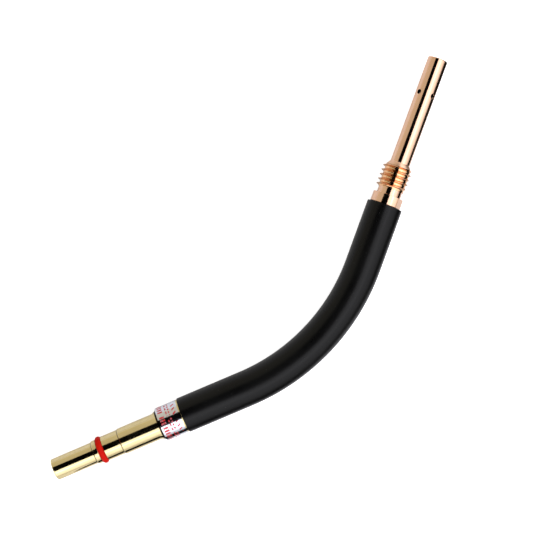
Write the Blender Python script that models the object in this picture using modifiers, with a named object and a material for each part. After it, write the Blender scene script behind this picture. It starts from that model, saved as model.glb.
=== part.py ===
"""Swan neck of a gas-cooled MIG welding torch, lying flat on a bench.

A brass plug with a sealing ring goes into the torch handle. A bent copper tube carries the current,
the gas and the wire from the plug to the head. The head has a coarse thread for the nozzle's spring,
and a copper tip holder whose end takes an M6 contact tip. Two sleeves insulate the tube.

Metres and radians. The neck's centreline starts at the plug's end face, and a station is a distance
along it. The bend lies flat, so +Z is up from the bench, and the plug points along -X.
"""

import math

import bmesh
import bpy
from mathutils import Matrix, Vector

# Clearances between pieces that touch
SEAT_GAP = 0.0003
FILM_GAP = 0.00005

# The way through the whole neck for the wire's liner and the gas
BORE_DIAMETER = 0.0055

# Centreline: straight, bend, straight. The runs are the lengths of sleeve beside the bend.
REAR_RUN = 0.0271
BEND_RADIUS = 0.0846
BEND_ANGLE = math.radians(47.0)
FRONT_RUN = 0.0254

# Plug, from its end face towards the sleeve
NOSE_DIAMETER = 0.0088
NOSE_LENGTH = 0.0174
NOSE_ROUND = 0.0006
LAND_DIAMETER = 0.0096
LAND_LENGTH = 0.0019
SHANK_DIAMETER = 0.0101
SHANK_LENGTH = 0.0070
BARREL_DIAMETER = 0.0107
BARREL_LENGTH = 0.0153
FLARE_DIAMETER = 0.0131
FLARE_LENGTH = 0.0020
COLLAR_DIAMETER = 0.0137
COLLAR_LENGTH = 0.0095
LEAD_IN = 0.0004

# Sealing ring and its groove
RING_DIAMETER = 0.0112
RING_SECTION = 0.0020

# Film label round the collar
LABEL_LENGTH = 0.0088
LABEL_THICKNESS = 0.0001
LABEL_SETBACK = 0.0003

# Conductor tube and the sockets that hold its ends
TUBE_DIAMETER = 0.0090
SKIRT_WALL = 0.0007
PLUG_SKIRT_LENGTH = 0.0045
PLUG_SOCKET_DEPTH = 0.0125
HEAD_SKIRT_LENGTH = 0.0080
HEAD_SOCKET_DEPTH = 0.0100
BRAZE_LEG = 0.0010
HOLDER_BRAZE_LENGTH = 0.0005

# Insulation
GLASS_WALL = 0.00095
SLEEVE_DIAMETER = 0.0144

# Head: collar with two spanner flats, relief, coarse thread
HEAD_COLLAR_DIAMETER = 0.0125
HEAD_COLLAR_LENGTH = 0.0041
FLATS_WIDTH = 0.0112
FLATS_TURN = math.radians(69.0)
RELIEF_DIAMETER = 0.0098
RELIEF_LENGTH = 0.0026
THREAD_DIAMETER = 0.0125
THREAD_ROOT_DIAMETER = 0.0100
THREAD_LENGTH = 0.0092
THREAD_PITCH = 0.00192
THREAD_CREST_WIDTH = 0.00016
THREAD_ROOT_WIDTH = 0.00034
THREAD_CHAMFER = 0.0005
FIRST_CREST = 0.0009

# Tip holder
HOLDER_DIAMETER = 0.0080
HOLDER_LENGTH = 0.0459
FLANGE_DIAMETER = 0.0104
CONE_LENGTH = 0.0017
SPIGOT_DIAMETER = 0.0072
SPIGOT_LENGTH = 0.0080
HOLDER_ROUND = 0.0005
TAP_DIAMETER = 0.0050
TAP_DEPTH = 0.0120
TAP_COUNTERSINK = 0.0005
CROSS_HOLE_DIAMETER = 0.0016
CROSS_HOLE_SETBACK = 0.0150
CROSS_HOLE_TURN = math.radians(45.0)

# Edges broken by the turning tool
EDGE_BREAK = 0.0002

# Fineness of the round surfaces
TURNED_SIDES = 36
SLEEVE_SIDES = 32
INNER_SIDES = 20
RING_SECTION_SIDES = 12
BEND_STEPS = 16
ARC_STEPS = 3
SMOOTH_ANGLE = math.radians(35.0)
MERGE_DISTANCE = 0.000001

# Radii that several pieces share
bore_radius = BORE_DIAMETER / 2
tube_radius = TUBE_DIAMETER / 2
socket_radius = tube_radius + SEAT_GAP
skirt_radius = socket_radius + SKIRT_WALL
glass_radius = tube_radius + SEAT_GAP + GLASS_WALL
spigot_socket_radius = SPIGOT_DIAMETER / 2 + SEAT_GAP

# Stations of the plug's shoulders
groove_width = RING_SECTION + 2 * SEAT_GAP
groove_rear = NOSE_LENGTH + LAND_LENGTH
groove_front = groove_rear + groove_width
barrel_rear = groove_front + SHANK_LENGTH
flare_rear = barrel_rear + BARREL_LENGTH
collar_rear = flare_rear + FLARE_LENGTH
collar_front = collar_rear + COLLAR_LENGTH
plug_front = collar_front + PLUG_SKIRT_LENGTH

# Stations of the sleeve and the bend
sleeve_rear = collar_front + SEAT_GAP
bend_start = sleeve_rear + REAR_RUN
bend_length = BEND_RADIUS * BEND_ANGLE
bend_end = bend_start + bend_length
sleeve_front = bend_end + FRONT_RUN

# Stations of the head's shoulders
head_collar_rear = sleeve_front + SEAT_GAP
head_collar_front = head_collar_rear + HEAD_COLLAR_LENGTH
thread_rear = head_collar_front + RELIEF_LENGTH
thread_front = thread_rear + THREAD_LENGTH
head_rear = head_collar_rear - HEAD_SKIRT_LENGTH

# Where the conductor tube ends in its two sockets
rear_socket_floor = plug_front - PLUG_SOCKET_DEPTH
front_socket_floor = head_rear + HEAD_SOCKET_DEPTH

# Stations of the tip holder's shoulders
flange_rear = thread_front + SEAT_GAP
holder_front = flange_rear + HOLDER_LENGTH
spigot_rear = flange_rear - SPIGOT_LENGTH
spigot_socket_floor = spigot_rear - HOLDER_BRAZE_LENGTH - 2 * SEAT_GAP


def clear_scene():
    for obj in list(bpy.data.objects):
        bpy.data.objects.remove(obj, do_unlink=True)


def new_collection(name):
    collection = bpy.data.collections.new(name)
    bpy.context.scene.collection.children.link(collection)
    return collection


def new_material(name, colour, roughness, metallic):
    material = bpy.data.materials.new(name)
    material.use_nodes = True
    shader = material.node_tree.nodes["Principled BSDF"]
    shader.inputs["Base Color"].default_value = (*colour, 1.0)
    shader.inputs["Roughness"].default_value = roughness
    shader.inputs["Metallic"].default_value = metallic
    return material


def path_frame(station):
    """Matrix at a station of the centreline: local Z along the neck, local X down to the bench."""
    turned_by = min(max((station - bend_start) / BEND_RADIUS, 0.0), BEND_ANGLE)
    along_rear = min(station, bend_start)
    along_front = max(station - bend_end, 0.0)
    x = along_rear + BEND_RADIUS * math.sin(turned_by) + along_front * math.cos(turned_by)
    y = BEND_RADIUS * (1 - math.cos(turned_by)) + along_front * math.sin(turned_by)
    heading = Matrix.Rotation(turned_by, 4, "Z") @ Matrix.Rotation(math.pi / 2, 4, "Y")
    return Matrix.Translation((x, y, 0.0)) @ heading


def new_axis(name, station, parent):
    """Empty for the straight through a station: its local Z heights are the neck's stations."""
    axis = bpy.data.objects.new(name, None)
    axis.empty_display_size = HOLDER_DIAMETER
    parts.objects.link(axis)
    axis.parent = parent
    axis.matrix_local = path_frame(station) @ Matrix.Translation((0.0, 0.0, -station))
    return axis


def settle(source, name, material, parent):
    """Fix the source's modifiers into a mesh under the piece's own name, smooth up to real edges."""
    bpy.context.view_layer.update()
    evaluated = source.evaluated_get(bpy.context.evaluated_depsgraph_get())
    mesh = bpy.data.meshes.new_from_object(evaluated)
    bpy.data.objects.remove(source, do_unlink=True)
    mesh.name = name
    mesh.materials.clear()
    mesh.materials.append(material)
    mesh.shade_smooth()
    mesh.set_sharp_from_angle(angle=SMOOTH_ANGLE)
    piece = bpy.data.objects.new(name, mesh)
    parts.objects.link(piece)
    piece.parent = parent
    return piece


def as_cutter(obj, parent):
    for collection in list(obj.users_collection):
        collection.objects.unlink(obj)
    cutters.objects.link(obj)
    obj.parent = parent
    obj.hide_render = True
    obj.display_type = "WIRE"


def cut(target, cutter):
    boolean = target.modifiers.new(cutter.name, "BOOLEAN")
    boolean.operation = "DIFFERENCE"
    boolean.solver = "EXACT"
    boolean.object = cutter


def rounded_outline(corners):
    """Points of a closed outline; a corner (radius, height, rounding) becomes an arc."""
    points = []
    for index, (radius, height, rounding) in enumerate(corners):
        corner = Vector((radius, height))
        if rounding == 0:
            points.append(corner)
            continue
        back = (Vector(corners[index - 1][:2]) - corner).normalized()
        ahead = (Vector(corners[(index + 1) % len(corners)][:2]) - corner).normalized()
        half_angle = back.angle(ahead) / 2
        centre = corner + (back + ahead).normalized() * rounding / math.sin(half_angle)
        first = corner + back * rounding / math.tan(half_angle) - centre
        last = corner + ahead * rounding / math.tan(half_angle) - centre
        for step in range(ARC_STEPS + 1):
            share = step / ARC_STEPS
            points.append(centre + first.slerp(last, share).normalized() * rounding)
    return points


def turned_source(name, corners, sides):
    """Closed outline turned about Z. It runs down the outside and back up the bore."""
    outline = rounded_outline(corners)
    vertices = [(point.x, 0.0, point.y) for point in outline]
    edges = [(index, (index + 1) % len(outline)) for index in range(len(outline))]
    mesh = bpy.data.meshes.new(name)
    mesh.from_pydata(vertices, edges, [])
    source = bpy.data.objects.new(name + "_outline", mesh)
    parts.objects.link(source)
    screw = source.modifiers.new("turn", "SCREW")
    screw.axis = "Z"
    screw.steps = sides
    screw.render_steps = sides
    screw.use_merge_vertices = True
    screw.merge_threshold = MERGE_DISTANCE
    return source


def bent_tube(name, start, end, outer_radius, wall, sides, material, parent):
    """Tube along the centreline between two stations: an open bevelled curve with a solid wall."""
    bends = [bend_start + bend_length * step / BEND_STEPS for step in range(BEND_STEPS + 1)]
    stations = [start] + bends + [end]
    curve = bpy.data.curves.new(name, "CURVE")
    curve.dimensions = "3D"
    curve.twist_mode = "Z_UP"
    curve.bevel_depth = outer_radius
    curve.bevel_resolution = sides // 2 - 2
    curve.use_fill_caps = False
    spline = curve.splines.new("POLY")
    spline.points.add(len(stations) - 1)
    for point, station in zip(spline.points, stations):
        point.co = (*path_frame(station).translation, 1.0)
    source = bpy.data.objects.new(name + "_route", curve)
    parts.objects.link(source)
    solid = source.modifiers.new("wall", "SOLIDIFY")
    solid.thickness = wall
    solid.offset = -1.0
    solid.use_even_offset = True
    return settle(source, name, material, parent)


def rear_plug():
    """Turned brass plug: stepped nose, ring groove, flare, label collar and tube socket."""
    collar_radius = COLLAR_DIAMETER / 2
    barrel_radius = BARREL_DIAMETER / 2
    land_radius = LAND_DIAMETER / 2
    groove_radius = RING_DIAMETER / 2 - RING_SECTION - SEAT_GAP
    corners = [
        (skirt_radius, plug_front, 0),
        (skirt_radius, collar_front, 0),
        (collar_radius - EDGE_BREAK, collar_front, 0),
        (collar_radius, collar_front - EDGE_BREAK, 0),
        (collar_radius, collar_rear + EDGE_BREAK, 0),
        (collar_radius - EDGE_BREAK, collar_rear, 0),
        (FLARE_DIAMETER / 2, collar_rear, 0),
        (barrel_radius, flare_rear, 0),
        (barrel_radius, barrel_rear + EDGE_BREAK, 0),
        (barrel_radius - EDGE_BREAK, barrel_rear, 0),
        (SHANK_DIAMETER / 2, barrel_rear, 0),
        (SHANK_DIAMETER / 2, groove_front, 0),
        (groove_radius, groove_front, 0),
        (groove_radius, groove_rear, 0),
        (land_radius, groove_rear, 0),
        (land_radius, NOSE_LENGTH + EDGE_BREAK, 0),
        (land_radius - EDGE_BREAK, NOSE_LENGTH, 0),
        (NOSE_DIAMETER / 2, NOSE_LENGTH, 0),
        (NOSE_DIAMETER / 2, 0.0, NOSE_ROUND),
        (bore_radius + LEAD_IN, 0.0, 0),
        (bore_radius, LEAD_IN, 0),
        (bore_radius, rear_socket_floor, 0),
        (socket_radius, rear_socket_floor, 0),
        (socket_radius, plug_front, 0),
    ]
    settle(turned_source("rear_plug", corners, TURNED_SIDES), "rear_plug", brass, rear_axis)


def plug_o_ring():
    """Moulded silicone ring that seals the plug in the handle."""
    bpy.ops.mesh.primitive_torus_add(
        major_radius=(RING_DIAMETER - RING_SECTION) / 2,
        minor_radius=RING_SECTION / 2,
        major_segments=TURNED_SIDES,
        minor_segments=RING_SECTION_SIDES,
        location=(0.0, 0.0, (groove_rear + groove_front) / 2),
    )
    torus = bpy.context.object
    bpy.ops.object.transform_apply(location=True)
    settle(torus, "plug_o_ring", red_silicone, rear_axis)


def label_band():
    """Silver film wrapped once round the plug's collar."""
    inner = COLLAR_DIAMETER / 2 + FILM_GAP
    outer = inner + LABEL_THICKNESS
    rear = collar_rear + LABEL_SETBACK
    front = rear + LABEL_LENGTH
    corners = [(outer, front, 0), (outer, rear, 0), (inner, rear, 0), (inner, front, 0)]
    settle(turned_source("label_band", corners, TURNED_SIDES), "label_band", silver_film, rear_axis)


def braze_ring(name, axis, seat, direction):
    """Fillet of filler metal round the tube against a socket's mouth, direction +1 or -1."""
    foot = seat + direction * SEAT_GAP
    tip = foot + direction * BRAZE_LEG
    waist = foot + direction * BRAZE_LEG / 3
    waist_radius = socket_radius + SKIRT_WALL / 3
    tip_radius = socket_radius + SKIRT_WALL / 6
    corners = [
        (socket_radius, tip, 0),
        (tip_radius, tip, 0),
        (waist_radius, waist, 0),
        (skirt_radius, foot, 0),
        (socket_radius, foot, 0),
    ]
    if direction < 0:
        corners.reverse()
    settle(turned_source(name, corners, INNER_SIDES), name, silver_solder, axis)


def holder_braze_ring():
    """Ring of filler metal between the tip holder's spigot and the floor of its socket."""
    front = spigot_rear - SEAT_GAP
    rear = front - HOLDER_BRAZE_LENGTH
    outer = SPIGOT_DIAMETER / 2
    corners = [(outer, front, 0), (outer, rear, 0), (bore_radius, rear, 0), (bore_radius, front, 0)]
    source = turned_source("holder_braze_ring", corners, INNER_SIDES)
    settle(source, "holder_braze_ring", silver_solder, front_axis)


def conductor_tube():
    """Copper tube bent once, its ends in the plug's and the head's sockets."""
    start = rear_socket_floor + SEAT_GAP
    end = front_socket_floor - SEAT_GAP
    wall = tube_radius - bore_radius
    bent_tube("conductor_tube", start, end, tube_radius, wall, INNER_SIDES, copper, neck)


def glass_fibre_sleeve():
    """Woven glass-fibre sleeve on the tube, between the two brazed joints."""
    start = plug_front + BRAZE_LEG + 2 * SEAT_GAP
    end = head_rear - BRAZE_LEG - 2 * SEAT_GAP
    bent_tube("glass_fibre_sleeve", start, end, glass_radius, GLASS_WALL, INNER_SIDES, glass_fibre, neck)


def outer_sleeve():
    """Black rubber sleeve from the plug's collar to the head's collar."""
    outer_radius = SLEEVE_DIAMETER / 2
    wall = outer_radius - glass_radius - SEAT_GAP
    bent_tube("outer_sleeve", sleeve_rear, sleeve_front, outer_radius, wall, SLEEVE_SIDES, rubber, neck)


def thread_cutter():
    """Helical V tool path that leaves the right-hand nozzle thread standing."""
    root = THREAD_ROOT_DIAMETER / 2
    crest = THREAD_DIAMETER / 2
    half_root = THREAD_ROOT_WIDTH / 2
    half_mouth = (THREAD_PITCH - THREAD_CREST_WIDTH) / 2
    flank_slope = (half_mouth - half_root) / (crest - root)
    overshoot = THREAD_CREST_WIDTH / 2
    half_clear = half_mouth + overshoot * flank_slope
    section = [
        (root, -half_root),
        (crest + overshoot, -half_clear),
        (crest + overshoot, half_clear),
        (root, half_root),
    ]
    start = thread_rear + FIRST_CREST - THREAD_PITCH
    turns = math.ceil((THREAD_LENGTH - FIRST_CREST + THREAD_PITCH + half_clear) / THREAD_PITCH)
    mesh = bmesh.new()
    first_angle = -math.pi / 2
    corners = [
        mesh.verts.new((
            radius * math.cos(first_angle),
            radius * math.sin(first_angle),
            start + offset,
        ))
        for radius, offset in section
    ]
    face = mesh.faces.new(corners)
    bmesh.ops.spin(
        mesh,
        geom=[face] + list(face.edges) + corners,
        cent=(0.0, 0.0, 0.0),
        axis=(0.0, 0.0, 1.0),
        dvec=(0.0, 0.0, THREAD_PITCH / TURNED_SIDES),
        angle=turns * 2 * math.pi,
        steps=turns * TURNED_SIDES,
        use_duplicate=False,
    )
    bmesh.ops.recalc_face_normals(mesh, faces=mesh.faces)
    data = bpy.data.meshes.new("thread_cutter")
    mesh.to_mesh(data)
    mesh.free()
    cutter = bpy.data.objects.new("thread_cutter", data)
    cutters.objects.link(cutter)
    return cutter


def flat_cutter(name, turn):
    """Block outside one spanner flat, whose normal is turned from straight up."""
    bpy.ops.mesh.primitive_cube_add(size=1.0)
    cutter = bpy.context.object
    cutter.name = name
    rear = head_collar_rear - SEAT_GAP
    front = head_collar_front + RELIEF_LENGTH / 2
    stretch = Matrix.Diagonal((HEAD_COLLAR_DIAMETER, 2 * HEAD_COLLAR_DIAMETER, front - rear, 1.0))
    reach = (FLATS_WIDTH + HEAD_COLLAR_DIAMETER) / 2
    place = Matrix.Translation((reach, 0.0, (rear + front) / 2))
    cutter.data.transform(Matrix.Rotation(math.pi + turn, 4, "Z") @ place @ stretch)
    return cutter


def head_body():
    """Turned copper head: tube socket, collar with spanner flats, relief and coarse thread."""
    collar_radius = HEAD_COLLAR_DIAMETER / 2
    relief_radius = RELIEF_DIAMETER / 2
    crest_radius = THREAD_DIAMETER / 2
    corners = [
        (crest_radius - THREAD_CHAMFER, thread_front, 0),
        (crest_radius, thread_front - THREAD_CHAMFER, 0),
        (crest_radius, thread_rear + THREAD_CHAMFER, 0),
        (crest_radius - THREAD_CHAMFER, thread_rear, 0),
        (relief_radius, thread_rear, 0),
        (relief_radius, head_collar_front, 0),
        (collar_radius - EDGE_BREAK, head_collar_front, 0),
        (collar_radius, head_collar_front - EDGE_BREAK, 0),
        (collar_radius, head_collar_rear + EDGE_BREAK, 0),
        (collar_radius - EDGE_BREAK, head_collar_rear, 0),
        (skirt_radius, head_collar_rear, 0),
        (skirt_radius, head_rear, 0),
        (socket_radius, head_rear, 0),
        (socket_radius, front_socket_floor, 0),
        (bore_radius, front_socket_floor, 0),
        (bore_radius, spigot_socket_floor, 0),
        (spigot_socket_radius, spigot_socket_floor, 0),
        (spigot_socket_radius, thread_front, 0),
    ]
    source = turned_source("head_body", corners, TURNED_SIDES)
    tools = [
        thread_cutter(),
        flat_cutter("flat_cutter_front", FLATS_TURN),
        flat_cutter("flat_cutter_back", FLATS_TURN + math.pi),
    ]
    for tool in tools:
        cut(source, tool)
    settle(source, "head_body", copper, front_axis)
    for tool in tools:
        as_cutter(tool, front_axis)


def tip_holder():
    """Copper tip holder: spigot, conical shoulder, tapped end and four gas holes."""
    holder_radius = HOLDER_DIAMETER / 2
    spigot_radius = SPIGOT_DIAMETER / 2
    tap_radius = TAP_DIAMETER / 2
    tap_rear = holder_front - TAP_DEPTH
    corners = [
        (holder_radius, holder_front, HOLDER_ROUND),
        (holder_radius, flange_rear + CONE_LENGTH, 0),
        (FLANGE_DIAMETER / 2, flange_rear, 0),
        (spigot_radius, flange_rear, 0),
        (spigot_radius, spigot_rear, 0),
        (bore_radius, spigot_rear, 0),
        (bore_radius, tap_rear - (bore_radius - tap_radius), 0),
        (tap_radius, tap_rear, 0),
        (tap_radius, holder_front - TAP_COUNTERSINK, 0),
        (tap_radius + TAP_COUNTERSINK, holder_front, 0),
    ]
    source = turned_source("tip_holder", corners, TURNED_SIDES)
    drills = []
    for index in range(2):
        bpy.ops.mesh.primitive_cylinder_add(
            vertices=RING_SECTION_SIDES,
            radius=CROSS_HOLE_DIAMETER / 2,
            depth=HOLDER_DIAMETER * 1.5,
        )
        drill = bpy.context.object
        drill.name = f"gas_drill_{index + 1}"
        across = Matrix.Rotation(math.pi / 2, 4, "Y")
        turn = Matrix.Rotation(CROSS_HOLE_TURN + index * math.pi / 2, 4, "Z")
        lift = Matrix.Translation((0.0, 0.0, holder_front - CROSS_HOLE_SETBACK))
        drill.data.transform(lift @ turn @ across)
        cut(source, drill)
        drills.append(drill)
    settle(source, "tip_holder", copper, front_axis)
    for drill in drills:
        as_cutter(drill, front_axis)


def stand_on_origin(root):
    """Move the whole neck so that it lies at z = 0 with its footprint centred on the origin."""
    bpy.context.view_layer.update()
    corners = [
        obj.matrix_world @ vertex.co
        for obj in parts.objects
        if obj.type == "MESH"
        for vertex in obj.data.vertices
    ]
    low = Vector(min(corner[axis] for corner in corners) for axis in range(3))
    high = Vector(max(corner[axis] for corner in corners) for axis in range(3))
    middle = (low + high) / 2
    root.location = (-middle.x, -middle.y, -low.z)
    bpy.context.view_layer.update()


clear_scene()
parts = new_collection("mig_torch_swan_neck")
cutters = new_collection("cutters")

brass = new_material("brass", (0.78, 0.62, 0.30), 0.22, 1.0)
copper = new_material("copper", (0.86, 0.50, 0.34), 0.20, 1.0)
silver_solder = new_material("silver_solder", (0.76, 0.70, 0.55), 0.35, 1.0)
red_silicone = new_material("red_silicone", (0.78, 0.04, 0.02), 0.45, 0.0)
silver_film = new_material("silver_film", (0.80, 0.80, 0.82), 0.25, 0.9)
glass_fibre = new_material("glass_fibre", (0.80, 0.76, 0.66), 0.85, 0.0)
rubber = new_material("rubber", (0.012, 0.012, 0.013), 0.50, 0.0)

neck = bpy.data.objects.new("neck", None)
parts.objects.link(neck)
rear_axis = new_axis("rear_axis", 0.0, neck)
front_axis = new_axis("front_axis", head_collar_rear, neck)

rear_plug()
plug_o_ring()
label_band()
conductor_tube()
braze_ring("plug_braze_ring", rear_axis, plug_front, 1)
braze_ring("head_braze_ring", front_axis, head_rear, -1)
glass_fibre_sleeve()
outer_sleeve()
head_body()
holder_braze_ring()
tip_holder()
stand_on_origin(neck)
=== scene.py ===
"""Swan neck of a gas-cooled MIG welding torch, dressed for the camera.

The file follows the neck from the plug, which goes into the torch handle, to the tip holder.
Metres and radians. A station is a distance along the neck's centreline, from the plug's end face.
"""

import math

import bpy
from mathutils import Matrix, Vector


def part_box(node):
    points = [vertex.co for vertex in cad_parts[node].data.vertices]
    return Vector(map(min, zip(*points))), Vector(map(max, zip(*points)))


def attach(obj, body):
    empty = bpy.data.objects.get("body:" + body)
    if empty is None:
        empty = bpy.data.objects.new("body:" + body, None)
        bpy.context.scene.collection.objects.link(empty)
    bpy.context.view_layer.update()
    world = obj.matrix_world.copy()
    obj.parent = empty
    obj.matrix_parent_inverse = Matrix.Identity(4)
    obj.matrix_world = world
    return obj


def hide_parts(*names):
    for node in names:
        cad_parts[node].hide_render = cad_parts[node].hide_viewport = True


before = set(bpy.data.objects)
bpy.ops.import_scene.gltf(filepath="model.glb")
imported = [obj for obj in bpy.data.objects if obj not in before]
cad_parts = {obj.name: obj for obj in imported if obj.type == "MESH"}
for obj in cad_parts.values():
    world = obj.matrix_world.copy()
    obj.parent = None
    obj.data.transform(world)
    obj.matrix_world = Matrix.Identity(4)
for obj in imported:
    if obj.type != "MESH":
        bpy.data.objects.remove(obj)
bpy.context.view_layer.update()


# --------------------------------------------------------------------------------------------------
# Rear plug: one brass turning that goes into the torch handle. From its end: rounded nose, land,
# groove for the sealing ring, shank, barrel, a short conical flare, and the collar that carries the
# label. The conductor tube is brazed into its front.

BORE_RADIUS = 0.00275
PLUG_SIDES = 160
NOSE_RADIUS = 0.0044
NOSE_LENGTH = 0.0174
NOSE_ROUNDING = 0.0006
LAND_RADIUS = 0.0048
GROOVE_REAR = 0.0193
GROOVE_FRONT = 0.0219
GROOVE_RADIUS = 0.0033
SHANK_RADIUS = 0.00505
BARREL_REAR = 0.0289
BARREL_RADIUS = 0.00535
STEP_CHAMFER = 0.0003
FLARE_REAR = 0.0443
FLARE_LENGTH = 0.0019
FLARE_RISE = 0.0009
COLLAR_FRONT = 0.0557
COLLAR_RADIUS = 0.00685
PLUG_SKIRT_RADIUS = 0.0055
PLUG_FRONT = 0.0602
TUBE_SOCKET_RADIUS = 0.0048
TUBE_SOCKET_FLOOR = 0.0477
MOUTH_CHAMFER = 0.0004
TURNED_EDGE = 0.00015
TURNED_EDGE_STEPS = 3
SHOULDER_EDGE = 0.00008
SHOULDER_EDGE_STEPS = 2
ROUNDED_END_STEPS = 6
MERGE_REACH = 0.000002
RING_REACH = 0.00002
CREASE_ANGLE = math.radians(32.0)

POLISHED_BRASS = (0.84, 0.70, 0.385)
WORN_BRASS = (0.77, 0.63, 0.33)
# Painted shade: the near-black painted into the bore, the gas holes and thin lines at the turned
# steps.
PAINTED_SHADE_BLACK = (0.030, 0.018, 0.012)
BRASS_ROUGHNESS = 0.10
SKIRT_ROUGHNESS = 0.2
POLISH_SMOOTHER = 0.02
POLISH_ROUGHER = 0.05
TURNING_MARK_DEPTH = 0.0000012
# How far out from the bore the painted shade reaches.
BORE_SHADE_REACH = 0.0001
LINE_CORE_SHARE = 0.7
# Painted shade lines along the nose's step, the barrel's step and the flare's front edge: half
# widths, darkness and setback.
STEP_SHADE_LINE = 0.00022
STEP_SHADE_DARKNESS = 0.65
FLARE_SHADE_LINE = 0.00055
FLARE_SHADE_SETBACK = 0.0003
FLARE_SHADE_DARKNESS = 1.0

plug_low, plug_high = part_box("rear_plug")
plug_end = Vector((plug_low.x, (plug_low.y + plug_high.y) / 2, (plug_low.z + plug_high.z) / 2))


def deselect_everything():
    for obj in bpy.context.selected_objects:
        obj.select_set(False)


def turn(name, walk, sides):
    """Lathe a closed section: a ring at its first (radius, station), extruded to each next one."""
    deselect_everything()
    radius, station = walk[0]
    bpy.ops.mesh.primitive_circle_add(vertices=sides, radius=radius, location=(0.0, 0.0, station))
    piece = bpy.context.object
    piece.name = name
    bpy.ops.object.transform_apply(location=True)
    bpy.ops.object.mode_set(mode="EDIT")
    bpy.ops.mesh.select_mode(type="EDGE")
    bpy.ops.mesh.select_all(action="SELECT")
    for next_radius, next_station in walk[1:] + walk[:1]:
        bpy.ops.mesh.extrude_region_move(
            TRANSFORM_OT_translate={"value": (0.0, 0.0, next_station - station)}
        )
        widening = next_radius / radius
        centre = (0.0, 0.0, next_station)
        bpy.ops.transform.resize(value=(widening, widening, 1.0), center_override=centre)
        radius, station = next_radius, next_station
    bpy.ops.mesh.select_all(action="SELECT")
    bpy.ops.mesh.remove_doubles(threshold=MERGE_REACH)
    bpy.ops.mesh.normals_make_consistent(inside=False)
    bpy.ops.mesh.select_all(action="DESELECT")
    bpy.ops.object.mode_set(mode="OBJECT")
    return piece


def open_with_selected(piece, belongs):
    """Go into edit mode with the points that belong selected, and nothing else."""
    for face in piece.data.polygons:
        face.select = False
    for edge in piece.data.edges:
        edge.select = False
    for vertex in piece.data.vertices:
        vertex.select = belongs(vertex.co)
    bpy.context.tool_settings.mesh_select_mode = (True, False, False)
    bpy.context.view_layer.objects.active = piece
    bpy.ops.object.mode_set(mode="EDIT")
    bpy.ops.mesh.select_mode(type="VERT")


def soften_ring(piece, radius, station, width, steps):
    """Round the turned edge at one radius and station."""

    def on_ring(point):
        off_radius = abs(math.hypot(point.x, point.y) - radius)
        return off_radius < RING_REACH and abs(point.z - station) < RING_REACH

    open_with_selected(piece, on_ring)
    bpy.ops.mesh.bevel(offset=width, offset_type="OFFSET", segments=steps, affect="EDGES")
    bpy.ops.mesh.select_all(action="DESELECT")
    bpy.ops.object.mode_set(mode="OBJECT")


def steady_shading(piece):
    """Keep the shading of long faces straight up to the small rounded edges beside them."""
    weighted = piece.modifiers.new("steady_shading", "WEIGHTED_NORMAL")
    weighted.keep_sharp = True
    bpy.ops.object.modifier_apply(modifier=weighted.name)


def seat_on_axis(piece, origin, heading):
    """Lay a piece made along Z along the neck from origin, and put its place into its mesh."""
    deselect_everything()
    piece.select_set(True)
    bpy.context.view_layer.objects.active = piece
    piece.rotation_euler = (0.0, math.pi / 2, heading)
    piece.location = origin
    bpy.ops.object.transform_apply(location=True, rotation=True, scale=True)
    bpy.ops.object.shade_smooth_by_angle(angle=CREASE_ANGLE)
    steady_shading(piece)


flare_front = FLARE_REAR + FLARE_LENGTH
rear_plug = turn(
    "rear_plug_turned",
    [
        (BORE_RADIUS + MOUTH_CHAMFER, 0.0),
        (NOSE_RADIUS, 0.0),
        (NOSE_RADIUS, NOSE_LENGTH),
        (LAND_RADIUS - STEP_CHAMFER, NOSE_LENGTH),
        (LAND_RADIUS, NOSE_LENGTH + STEP_CHAMFER),
        (LAND_RADIUS, GROOVE_REAR),
        (GROOVE_RADIUS, GROOVE_REAR),
        (GROOVE_RADIUS, GROOVE_FRONT),
        (SHANK_RADIUS, GROOVE_FRONT),
        (SHANK_RADIUS, BARREL_REAR),
        (BARREL_RADIUS, BARREL_REAR + STEP_CHAMFER),
        (BARREL_RADIUS, FLARE_REAR),
        (BARREL_RADIUS + FLARE_RISE, flare_front),
        (COLLAR_RADIUS, flare_front),
        (COLLAR_RADIUS, COLLAR_FRONT),
        (PLUG_SKIRT_RADIUS, COLLAR_FRONT),
        (PLUG_SKIRT_RADIUS, PLUG_FRONT),
        (TUBE_SOCKET_RADIUS, PLUG_FRONT),
        (TUBE_SOCKET_RADIUS, TUBE_SOCKET_FLOOR),
        (BORE_RADIUS, TUBE_SOCKET_FLOOR),
        (BORE_RADIUS, MOUTH_CHAMFER),
    ],
    PLUG_SIDES,
)
soften_ring(rear_plug, NOSE_RADIUS, 0.0, NOSE_ROUNDING, ROUNDED_END_STEPS)
soften_ring(rear_plug, LAND_RADIUS, GROOVE_REAR, SHOULDER_EDGE, SHOULDER_EDGE_STEPS)
soften_ring(rear_plug, SHANK_RADIUS, GROOVE_FRONT, SHOULDER_EDGE, SHOULDER_EDGE_STEPS)
soften_ring(rear_plug, COLLAR_RADIUS, COLLAR_FRONT, TURNED_EDGE, TURNED_EDGE_STEPS)
seat_on_axis(rear_plug, plug_end, heading=0.0)


def new_finish(name, colour, metallic, roughness):
    """A material and its Principled shader, with the plain values set."""
    finish = bpy.data.materials.new(name)
    finish.use_nodes = True
    shader = finish.node_tree.nodes["Principled BSDF"]
    shader.inputs["Base Color"].default_value = (*colour, 1.0)
    shader.inputs["Metallic"].default_value = metallic
    shader.inputs["Roughness"].default_value = roughness
    return finish, shader


def add_node(finish, kind, inputs, **settings):
    """A node in a finish, with its settings. An input is a plain value or another node's output."""
    node = finish.node_tree.nodes.new(kind)
    for setting, value in settings.items():
        setattr(node, setting, value)
    for name, value in inputs.items():
        socket = node.inputs[name]
        if isinstance(value, bpy.types.NodeSocket):
            finish.node_tree.links.new(value, socket)
        elif socket.type == "RGBA":
            socket.default_value = (*value, 1.0)
        else:
            socket.default_value = value
    return node


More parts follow.
